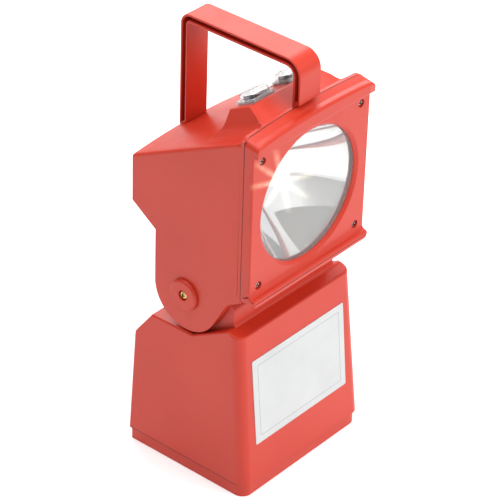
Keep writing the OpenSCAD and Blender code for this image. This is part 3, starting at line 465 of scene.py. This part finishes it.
# front frame: bezelLook is its eased edges, bezelPlan where they lie, browLook its upper edge
bezelLook = dict(seam=0.5, edge=1.1, opening=0.4)
bezelPlan = dict(rear=-44.6, seamWide=62.5, seamTop=297.4, seamFoot=166.2, middle=230.0, openRound=54.5,
                 openFront=-50.0, browFoot=286.5, wide=61.5, foot=167.0)
browLook = dict(top=301.0, foot=287.0, seam=-44.4, face=-52.4, front=-56.4, squeeze=0.83, crease=-50.8, creaseDrop=2.0,
                creaseHalf=0.25, groove=0.3, grooveEnd=60.0, grooveFade=3.0, ledgeDrop=2.3)


# the brow falls a little to a fine crease and then runs level to its nose
def shapeBezel(bm):
    look = browLook

    def inLid(face):
        return min(v.co.z for v in face.verts) > (look["top"] - 0.5) * mm

    for step in (1, 0, -1):
        cutFaces(bm, inLid, (0, look["crease"] + step * look["creaseHalf"], 0), (0, 1, 0))
    for vert in bm.verts:
        x, y, z = vert.co / mm
        if z < look["foot"] - 0.05 or y > look["seam"] - 0.01:
            continue
        if y <= look["face"]:
            y = look["face"] + (y - look["face"]) * look["squeeze"]
        drop = look["creaseDrop"] * min((look["seam"] - y) / (look["seam"] - look["crease"]), 1.0)
        if y < look["crease"]:
            drop += (look["ledgeDrop"] - look["creaseDrop"]) * (look["crease"] - y) / (look["crease"] - look["front"])
        if abs(y - look["crease"]) < 0.01:
            drop += look["groove"] * between(look["grooveEnd"] - abs(x), 0, look["grooveFade"])
        vert.co.y = y * mm
        vert.co.z = (z - drop * between(z, look["foot"], look["top"])) * mm
    crownTop(bm, crownLook["frameLow"], crownLook["frameFull"])


def pickBezel(edge, at, n1, n2):
    look, plan = bezelLook, bezelPlan
    if not edge.is_convex:
        return 0
    if at.y > plan["rear"]:
        outer = abs(at.x) > plan["seamWide"] or at.z > plan["seamTop"] or at.z < plan["seamFoot"]
        return look["seam"] if outer else 0
    if math.hypot(at.x, at.z - plan["middle"]) < plan["openRound"]:
        return look["opening"] if at.y < plan["openFront"] else 0
    if at.z > plan["browFoot"]:
        return 0
    return look["edge"] if abs(at.x) > plan["wide"] or at.z < plan["foot"] else 0


frontBezel = easedShell("front_frame", "frontBezel", shellRed, pickBezel, shape=shapeBezel)
settle(frontBezel, "head", ["front_frame"])


# seal that shows as a dark line in the groove between shell and frame: a near-black ring at the groove's mouth paints
# the groove's shade line
gasketShadeLook = dict(halfWide=63.12, halfTall=67.67, middle=233.25, corner=4.9, deep=1.6, half=0.3, step=6.0)
gasketShadePlace = uprightAt(headPlan["front"], gasketShadeLook["middle"])


def gasketShadeRing(inset, depth):
    look = gasketShadeLook
    corners = cornerRing(look["halfWide"] - inset, look["halfTall"] - inset, look["corner"] - inset, depth, Matrix())
    ring = []
    for first, second in zip(corners, corners[1:] + corners[:1]):
        parts = max(1, round((second - first).length / look["step"]))
        for i in range(parts):
            at = first.lerp(second, i / parts)
            at.y -= crownDrop(at.x, headPlan["front"], at.y + look["middle"], crownLook["rimLow"], crownLook["rimFull"])
            ring.append(gasketShadePlace @ at)
    return ring


bm = bmesh.new()
skinRings(bm, [gasketShadeRing(inset, side * gasketShadeLook["half"]) for inset, side in (
    (gasketShadeLook["deep"], -1), (0, -1), (0, 1), (gasketShadeLook["deep"], 1))], joinEnds=True)
settle(meshObject("frameGasketShade", bm, [gasketShadeRubber]), "head", ["frame_gasket"])


# handle
handleLook = dict(edge=0.45, above=247.0)


def pickHandle(edge, at, n1, n2):
    return handleLook["edge"] if edge.is_convex and at.z > handleLook["above"] else 0


settle(easedShell("handle", "carryHandle", shellRed, pickHandle, 3), "head", ["handle"])
print("head made")


# screws with a cross recess, which narrows from its mouth to its floor; the recess takes a near-black finish, painted
# shade in the hollow
crossLook = dict(mouth=1.12, floor=0.8)


def crossShape(arm, half):
    def shape(a):
        turn = abs((a + math.pi / 4) % (math.pi / 2) - math.pi / 4)
        return min(arm / math.cos(turn), half / max(math.sin(turn), 1e-6))
    return shape


def crossScrew(bm, place, look):
    head, tall, shank = look["head"], look["tall"], look["shank"]
    profile = [(shank, -look["length"]), (shank, 0), (head * 0.97, 0), (head, 0.12 * tall), (head, 0.45 * tall)]
    profile += [(head * r, tall * (0.4 + 0.6 * h)) for r, h in arcSteps(0, 0, 1, 20, 62, 5)]
    cross = crossShape(look["arm"], look["half"])
    rings = [turnedRing(r, h, place) for r, h in profile] + [turnedRing(crossLook["mouth"], tall, place, shape=cross)]
    rim = skinRings(bm, rings, True, False)[-1]
    recess = [bm.verts.new(p) for p in turnedRing(crossLook["floor"], tall - look["recess"], place, shape=cross)]
    # the recess walls and floor take the painted-shade finish
    joinRings(bm, rim, recess, 1)
    bm.faces.new(recess).material_index = 1


frameScrewLook = dict(head=2.6, tall=2.0, shank=1.5, length=14.9, recess=1.1, arm=1.35, half=0.42,
                      across=53.2, heights=(179.8, 280.2), seat=-49.4)
bm = bmesh.new()
for side in (-1, 1):
    for height in frameScrewLook["heights"]:
        at = (side * frameScrewLook["across"], frameScrewLook["seat"], height)
        crossScrew(bm, standAt(at, (0, -1, 0)), frameScrewLook)
settle(meshObject("frameScrews", bm, [zincSteel, recessShade]), "head", ["frame_screws"])


def onPivot(side, seat):
    return standAt((side * seat, headPlan["pivotY"], headPlan["pivotZ"]), (side, 0, 0))


pivotScrewLook = dict(head=3.2, tall=2.2, shank=2.0, length=21.3, recess=1.2, arm=1.6, half=0.5, seat=62.49)
bm = bmesh.new()
for side in (-1, 1):
    crossScrew(bm, onPivot(side, pivotScrewLook["seat"]), pivotScrewLook)
settle(meshObject("pivotScrews", bm, [contactBrass, recessShade]), "base", ["pivot_screws"])


# pivot caps: a round bush behind a disc with a broad soft rim
capLook = dict(radius=12.3, thick=3.6, rim=2.3, flat=9.6, bush=9.0, bushLong=12.69, bore=3.8, boreDeep=2.8, hole=2.3,
               seat=61.69)


def pivotCap(name, side):
    look = capLook
    radius, thick, rim, flat, bore = look["radius"], look["thick"], look["rim"], look["flat"], look["bore"]
    profile = [(look["hole"], -look["bushLong"]), (look["bush"], -look["bushLong"]), (look["bush"], 0),
               (radius - 0.3, 0), (radius, 0.3), (radius, thick - rim)]
    profile += arcSteps(radius - rim, thick - rim, rim, 0, 82, 7)[1:]
    profile += [(flat + 0.35, thick - 0.10), (flat, thick - 0.16), (flat - 0.6, thick - 0.12)]  # fine groove
    profile += [(bore + 0.5, thick - 0.12), (bore, thick - 0.6), (bore, thick - look["boreDeep"]),
                (look["hole"], thick - look["boreDeep"])]
    bm = bmesh.new()
    skinRings(bm, [turnedRing(r, h, onPivot(side, look["seat"]), 96) for r, h in profile], joinEnds=True)
    return meshObject(name, bm, [shellRed])


settle(pivotCap("pivotCapLeft", -1), "base", ["pivot_cap_left"])
settle(pivotCap("pivotCapRight", 1), "base", ["pivot_cap_right"])
print("screws and caps made")


# label plate: blank white face with a thin ruled border
labelLook = dict(wide=102.6, tall=70.4, thick=0.38, corner=1.2, soft=0.1, gap=0.06, height=75.5,
                 inset=5.5, line=0.42, lineCorner=0.6)
labelPlace = uprightAt(baseFront(labelLook["height"]), labelLook["height"], baseLook["frontLean"])


def labelRing(inset, corner, depth):
    return cornerRing(labelLook["wide"] / 2 - inset, labelLook["tall"] / 2 - inset, corner, depth, labelPlace)


def labelPlate(name):
    look = labelLook
    face, soft, corner, inset = look["gap"] + look["thick"], look["soft"], look["corner"], look["inset"]
    bm = bmesh.new()
    plate = skinRings(bm, [labelRing(0, corner, look["gap"]), labelRing(0, corner, face - soft),
                           labelRing(soft, corner - soft, face)], True, False)
    border = skinRings(bm, [labelRing(inset, look["lineCorner"], face),
                            labelRing(inset + look["line"], look["lineCorner"] / 2, face)], False, False, 1)
    joinRings(bm, plate[-1], border[0])
    bm.faces.new(border[-1])
    return meshObject(name, bm, [labelWhite, labelLine])


settle(labelPlate("labelPlate"), "base", ["rating_label"])


# reflector, glass and bulb on the lamp axis
axis = standAt((0, 0, bezelPlan["middle"]), (0, 1, 0))
mirrorLook = dict(radius=51.4, focal=15.0, hole=8.0, wall=1.1, flange=-45.6, rim=53.6, steps=40, plate=1.2)


def mirrorProfile():
    look = mirrorLook
    radius, wall, flange, rim = look["radius"], look["wall"], look["flange"], look["rim"]
    spread = [radius + (look["hole"] - radius) * i / look["steps"] for i in range(look["steps"] + 1)]
    bowl = [(r, flange + (radius ** 2 - r * r) / (4 * look["focal"])) for r in spread]
    back = [(r + wall, h + wall) for r, h in bowl[::-1] if r < radius - 0.5]
    plate = [(radius + wall, flange + look["plate"]), (rim, flange + look["plate"])]
    return [(rim, flange), (radius + 0.5, flange)] + bowl + back + plate


bm = bmesh.new()
skinRings(bm, [turnedRing(r, h, axis, 128) for r, h in mirrorProfile()], joinEnds=True)
settle(meshObject("lampMirror", bm, [brightMirror], 40), "head", ["reflector"])

bulbLook = dict(radius=5.0, tip=-33.0, long=22.0, wall=0.5, neck=0.6)


def bulbProfile():
    radius, tip, wall, neck = (bulbLook[k] for k in ("radius", "tip", "wall", "neck"))
    end = tip + bulbLook["long"]
    outer = arcSteps(0, tip + radius, radius, -88, 0, 12)
    outer += [(radius, end - 3), (radius - neck, end - 1), (radius - neck, end)]
    inner = [(max(r - wall, 0.1), h + (wall if h < tip + radius else -0.2)) for r, h in outer]
    return outer + inner[::-1]


bm = bmesh.new()
skinRings(bm, [turnedRing(r, h, axis, 48) for r, h in bulbProfile()])
settle(meshObject("bulbShell", bm, [bulbGlass], 50), "head", ["bulb"])

# lit filament on its two posts
filamentLook = dict(half=1.9, coil=0.55, steps=120, turnSteps=12, at=-27.0, wire=0.16, postWire=0.22,
                    posts=((1.9, 0.55, -26.6), (2.0, 0.2, -24.5), (2.2, 0.0, -20.0), (2.0, 0.0, -11.5)),
                    glow=(1.0, 0.78, 0.50), glowPale=(1.0, 0.9, 0.7), strength=260.0)


def filamentGlow(name, look):
    mat, tree, shader, where = startMaterial(name)
    wisp = noiseNode(tree, where, 900, 2)
    glow = rampNode(tree, wisp, [(0.2, look["glow"]), (0.8, look["glowPale"])])
    tree.links.new(glow, shader.inputs["Emission Color"])
    shader.inputs["Emission Strength"].default_value = look["strength"]
    shader.inputs["Base Color"].default_value = (0.2, 0.18, 0.15, 1)
    return mat


# a wire of round section along a list of points
def wireRings(points, radius, place, count=8):
    rings = []
    for i, p in enumerate(points):
        ahead = Vector(points[min(i + 1, len(points) - 1)]) - Vector(points[max(i - 1, 0)])
        turn = Vector((0, 0, 1)).rotation_difference(ahead.normalized()).to_matrix()
        rings.append([place @ (Vector(p) + turn @ Vector((radius * math.cos(a), radius * math.sin(a), 0)))
                      for a in [2 * math.pi * k / count for k in range(count)]])
    return rings


def coilPoint(i):
    look = filamentLook
    a = i * 2 * math.pi / look["turnSteps"]
    across = -look["half"] + 2 * look["half"] * i / look["steps"]
    return across, look["coil"] * math.cos(a), look["at"] + look["coil"] * math.sin(a)


bm = bmesh.new()
skinRings(bm, wireRings([coilPoint(i) for i in range(filamentLook["steps"] + 1)], filamentLook["wire"], axis))
settle(meshObject("filament", bm, [filamentGlow("glowWire", filamentLook)], 60), "head")
bm = bmesh.new()
for side in (-1, 1):
    skinRings(bm, wireRings([(side * x, y, z) for x, y, z in filamentLook["posts"]], filamentLook["postWire"], axis))
settle(meshObject("filamentPosts", bm, [zincSteel], 60), "head")
print("lamp made")


# switches on the platform: a clear frame and boot with the black rocker inside
switchLook = dict(across=18.5, back=-16.4, height=300.36,
                  long=25.0, wide=18.0, corner=2.5, frameTall=2.8, frameStep=1.8,
                  openLong=19.7, openWide=13.7, openCorner=3.05, bootLong=19.6, bootWide=13.6, bootCorner=3.0,
                  bootFoot=3.4, bootTop=8.0, bootSoft=2.2, wall=0.9,
                  flangeLong=23.0, flangeWide=16.6, flangeCorner=2.0, flangeAt=1.0, flangeTall=0.8)


def switchPlace(side):
    at = Vector((side * switchLook["across"], switchLook["back"], switchLook["height"])) * mm
    return Matrix.Translation(at) @ Matrix.Rotation(math.radians(-headPlan["slope"]), 4, "X") @ Matrix.Scale(mm, 4)


# each row is long, wide, corner and height
def switchRings(rows, side):
    return [cornerRing(l / 2, w / 2, max(r, 0.2), h, switchPlace(side), 6) for l, w, r, h in rows]


def bootFrame(name, side):
    look = switchLook
    long, wide, corner, low, tall = (look[k] for k in ("long", "wide", "corner", "frameStep", "frameTall"))
    openL, openW, openR = look["openLong"], look["openWide"], look["openCorner"]
    under = (look["flangeLong"] + 0.1, look["flangeWide"] + 0.1, look["flangeCorner"])
    rows = [(long, wide, corner, 0.0), (long, wide, corner, low), (long - 0.4, wide - 0.4, corner - 0.2, low + 0.6),
            (long - 1.2, wide - 1.2, corner - 0.5, tall), (openL + 0.9, openW + 0.9, openR + 0.45, tall),
            (openL, openW, openR, tall - 0.45), (openL, openW, openR, low), (*under, low), (*under, 0.0)]
    bm = bmesh.new()
    skinRings(bm, switchRings(rows, side), joinEnds=True)
    return meshObject(name, bm, [clearFlange])


def switchBoot(name, side):
    look = switchLook
    l, w, r, top, soft = (look[k] for k in ("bootLong", "bootWide", "bootCorner", "bootTop", "bootSoft"))
    flange = (look["flangeLong"], look["flangeWide"], look["flangeCorner"])
    base, over, wall = look["flangeAt"], look["flangeAt"] + look["flangeTall"], look["wall"]
    rows = [(*flange, base), (*flange, over), (l, w, r, over), (l, w, r, look["bootFoot"])]
    rows += [(l + 2 * dx, w + 2 * dx, r + dx * 0.6, h) for dx, h in arcSteps(-soft, top - soft - 0.5, soft, 0, 80, 6)]
    rows += [(l - 9, w - 8, 1.2, top - 0.1), (l - 14, w - 11, 0.6, top)]
    inside = [(a - 2 * wall, b - 2 * wall, c - wall * 0.5, h - wall) for a, b, c, h in rows[3:]][::-1]
    inside[-1] = (*inside[-1][:3], base)
    bm = bmesh.new()
    outer = skinRings(bm, switchRings(rows, side), False, True)
    inner = skinRings(bm, switchRings(inside, side), True, False)
    joinRings(bm, inner[-1], outer[0])
    return meshObject(name, bm, [clearBoot], 60)


rockerLook = dict(end=7.2, wide=10.0, top=5.0, dip=1.0, low=3.5, skirt=0.4, round=0.6, shrink=0.93, steps=12,
                  axle=1.5, axleLong=12.6, tilt=8.0, sink=1.0)


def switchRocker(name, side):
    look = rockerLook
    end, axle, half, soft, shrink = look["end"], look["axle"], look["wide"] / 2, look["round"], look["shrink"]
    tilt = Matrix.Rotation(math.radians(look["tilt"]), 4, "Y")
    place = switchPlace(side) @ Matrix.Translation((0, 0, -look["sink"])) @ tilt
    outline = [(-end, -look["skirt"]), (-axle, -look["low"]), (axle, -look["low"]), (end, -look["skirt"])]
    for i in range(look["steps"] + 1):
        along = 1 - 2 * i / look["steps"]
        outline.append((end * along, look["top"] - look["dip"] * (1 - along ** 2)))
    bm = bmesh.new()
    skinRings(bm, [[place @ Vector((x * size, y, z * size)) for x, z in outline] for y, size in (
        (-half, shrink), (-half + soft, 1.0), (half - soft, 1.0), (half, shrink))])
    turn, long = place @ Matrix.Rotation(math.radians(90), 4, "X"), look["axleLong"] / 2
    skinRings(bm, [turnedRing(r, h, turn, 32) for r, h in (
        (axle - 0.2, -long), (axle, -long + 0.2), (axle, long - 0.2), (axle - 0.2, long))])
    return meshObject(name, bm, [rockerBlack])


for word, side in (("Left", -1), ("Right", 1)):
    low = word.lower()
    settle(bootFrame("bootFrame" + word, side), "head", ["boot_frame_" + low])
    settle(switchBoot("switchBoot" + word, side), "head", ["switch_boot_" + low])
    settle(switchRocker("switchRocker" + word, side), "rocker_" + low, ["rocker_" + low])
print("switches made")


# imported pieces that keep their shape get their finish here
carried = {
    "cover_screws": zincSteel, "battery": batteryGrey, "battery_terminals": contactBrass,
    "battery_strap": zincSteel, "strap_screws": zincSteel, "transformer_core": coreIron, "transformer_coil": coilWrap,
    "charger_board": boardGreen, "board_parts": partsGrey, "charge_inlet": rockerBlack, "inlet_pins": contactBrass,
    "friction_washers": washerFibre, "front_glass": clearGlass, "glass_gasket": ringRubber,
    "retaining_ring": zincSteel, "ring_screws": zincSteel, "bulb_base": holderIvory, "lamp_holder": holderIvory,
    "handle_pins": zincSteel, "switch_body_left": rockerBlack, "switch_body_right": rockerBlack,
}
for node, mat in carried.items():
    mesh = nodes[node].data
    mesh.materials.clear()
    mesh.materials.append(mat)
print("finishes set on", len(carried), "packed pieces")


# floor
floorLook = dict(dark=(0.76, 0.76, 0.76), light=(0.79, 0.79, 0.79), fleckScale=3.0, gloss=0.85, dull=0.95,
                 glow=0.36, half=6.0)


def floorPaper(name, look):
    mat, tree, shader, where = startMaterial(name)
    fleck = noiseNode(tree, where, look["fleckScale"], 4)
    tree.links.new(rampNode(tree, fleck, [(0.2, look["dark"]), (0.8, look["light"])]), shader.inputs["Base Color"])
    tree.links.new(spanNode(tree, fleck, 0.2, 0.8, look["gloss"], look["dull"]), shader.inputs["Roughness"])
    shader.inputs["Specular IOR Level"].default_value = 0.0
    shader.inputs["Emission Color"].default_value = (1, 1, 1, 1)
    shader.inputs["Emission Strength"].default_value = look["glow"]
    return mat


bm = bmesh.new()
bmesh.ops.create_grid(bm, x_segments=8, y_segments=8, size=floorLook["half"])
meshObject("floor", bm, [floorPaper("floorPaper", floorLook)])

# room: pale dome, white walls in front and to the right, and a dark ceiling there, which the mirror shows
roomLook = dict(dome=[(0.0, (0.30, 0.30, 0.31)), (0.48, (0.58, 0.59, 0.60)), (0.62, (0.80, 0.81, 0.82)),
                      (1.0, (1.0, 1.0, 1.0))],
                walls=[(0.58, (0.42, 0.42, 0.42)), (0.70, (1.0, 1.0, 1.0))], wallX=0.6, wallY=-0.8,
                ceiling=(0.09, 0.09, 0.092, 1.0), ceilingRight=0.88, ceilingFront=-0.92)
world = bpy.data.worlds.new("studio")
scene.world = world
world.use_nodes = True
roomTree = world.node_tree


# a node fed with sockets or plain values
def feed(socket, value):
    if isinstance(value, (float, tuple)):
        socket.default_value = value
    else:
        roomTree.links.new(value, socket)


def wayMath(operation, first, second):
    node = roomTree.nodes.new("ShaderNodeMath")
    node.operation = operation
    feed(node.inputs[0], first)
    feed(node.inputs[1], second)
    return node.outputs["Value"]


def wayMix(blend, factor, first, second):
    node = roomTree.nodes.new("ShaderNodeMix")
    node.data_type, node.blend_type = "RGBA", blend
    feed(node.inputs["Factor"], factor)
    feed(node.inputs[6], first)
    feed(node.inputs[7], second)
    return node.outputs[2]


wayCoord = roomTree.nodes.new("ShaderNodeTexCoord")
wayParts = roomTree.nodes.new("ShaderNodeSeparateXYZ")
roomTree.links.new(wayCoord.outputs["Generated"], wayParts.inputs["Vector"])
wayX, wayY, wayZ = (wayParts.outputs[k] for k in "XYZ")
wallWay = wayMath("ADD", wayMath("MULTIPLY", wayX, roomLook["wallX"]), wayMath("MULTIPLY", wayY, roomLook["wallY"]))
domeTone = rampNode(roomTree, spanNode(roomTree, wayZ, -1, 1, 0, 1), roomLook["dome"])
wallTone = rampNode(roomTree, spanNode(roomTree, wallWay, -1, 1, 0, 1), roomLook["walls"])
above = wayMath("MAXIMUM", wayZ, 0.001)
underRight = wayMath("LESS_THAN", wayMath("DIVIDE", wayX, above), roomLook["ceilingRight"])
behindFront = wayMath("GREATER_THAN", wayMath("DIVIDE", wayY, above), roomLook["ceilingFront"])
ceiling = wayMath("MULTIPLY", wayMath("MULTIPLY", underRight, behindFront), wayMath("GREATER_THAN", wallWay, 0.0))
room = wayMix("MIX", ceiling, wayMix("MULTIPLY", 1.0, domeTone, wallTone), roomLook["ceiling"])
sky = roomTree.nodes["Background"]
roomTree.links.new(room, sky.inputs["Color"])
sky.inputs["Strength"].default_value = 1.0

# soft lights; the mirror would show the corners of the key light
lightLook = dict(
    keyBox=dict(at=(0.9, -1.9, 1.7), to=(0, 0, 0.2), size=(1.8, 1.8), power=36, inMirror=False),
    topBox=dict(at=(0.0, 0.3, 2.3), to=(0, 0, 0.1), size=(2.4, 2.4), power=58, inMirror=True),
    backBox=dict(at=(1.7, 1.45, 1.55), to=(0, 0, 0.25), size=(2.0, 1.6), power=34, inMirror=True))
for name, look in lightLook.items():
    light = bpy.data.lights.new(name, "AREA")
    light.shape = "RECTANGLE"
    light.size, light.size_y = look["size"]
    light.energy = look["power"]
    box = bpy.data.objects.new(name, light)
    box.location = look["at"]
    box.rotation_euler = (Vector(look["to"]) - Vector(look["at"])).to_track_quat("-Z", "Y").to_euler()
    box.visible_glossy = look["inMirror"]
    scene.collection.objects.link(box)

# camera at the photograph's angle, looking at a point on the lamp's middle line
cameraLook = dict(lens=193.49, sensor=36, azimuth=-50.55, elevation=33.36, roll=1.87, across=-0.03, up=-8.38,
                  middle=170.0, distance=1927.5)
a, e, r = (math.radians(cameraLook[k]) for k in ("azimuth", "elevation", "roll"))
backWay = Vector((math.sin(a) * math.cos(e), -math.cos(a) * math.cos(e), math.sin(e)))
rightFlat = Vector((math.cos(a), math.sin(a), 0))
upFlat = backWay.cross(rightFlat)
rightWay = rightFlat * math.cos(r) + upFlat * math.sin(r)
upWay = upFlat * math.cos(r) - rightFlat * math.sin(r)
target = Vector((0, 0, cameraLook["middle"])) + rightFlat * cameraLook["across"] + upFlat * cameraLook["up"]
place = (target + backWay * cameraLook["distance"]) * mm
cameraData = bpy.data.cameras.new("photoCamera")
cameraData.lens = cameraLook["lens"]
cameraData.sensor_width = cameraLook["sensor"]
cameraData.clip_start, cameraData.clip_end = 0.05, 50
camera = bpy.data.objects.new("photoCamera", cameraData)
camera.matrix_world = Matrix(((rightWay.x, upWay.x, backWay.x, place.x), (rightWay.y, upWay.y, backWay.y, place.y),
                              (rightWay.z, upWay.z, backWay.z, place.z), (0, 0, 0, 1)))
scene.collection.objects.link(camera)
scene.camera = camera
scene.view_settings.view_transform = "Standard"

# small star round the lit bulb
starLook = {"Threshold": 8.0, "Strength": 0.12, "Streaks": 8, "Streaks Angle": math.radians(12), "Iterations": 2}
scene.use_nodes = True
picture = scene.node_tree
star = picture.nodes.new("CompositorNodeGlare")
star.glare_type = "STREAKS"
for name, value in starLook.items():
    star.inputs[name].default_value = value
layers = next(n for n in picture.nodes if n.type == "R_LAYERS")
result = next(n for n in picture.nodes if n.type == "COMPOSITE")
picture.links.new(layers.outputs["Image"], star.inputs["Image"])
picture.links.new(star.outputs["Image"], result.inputs["Image"])
print("stage made")
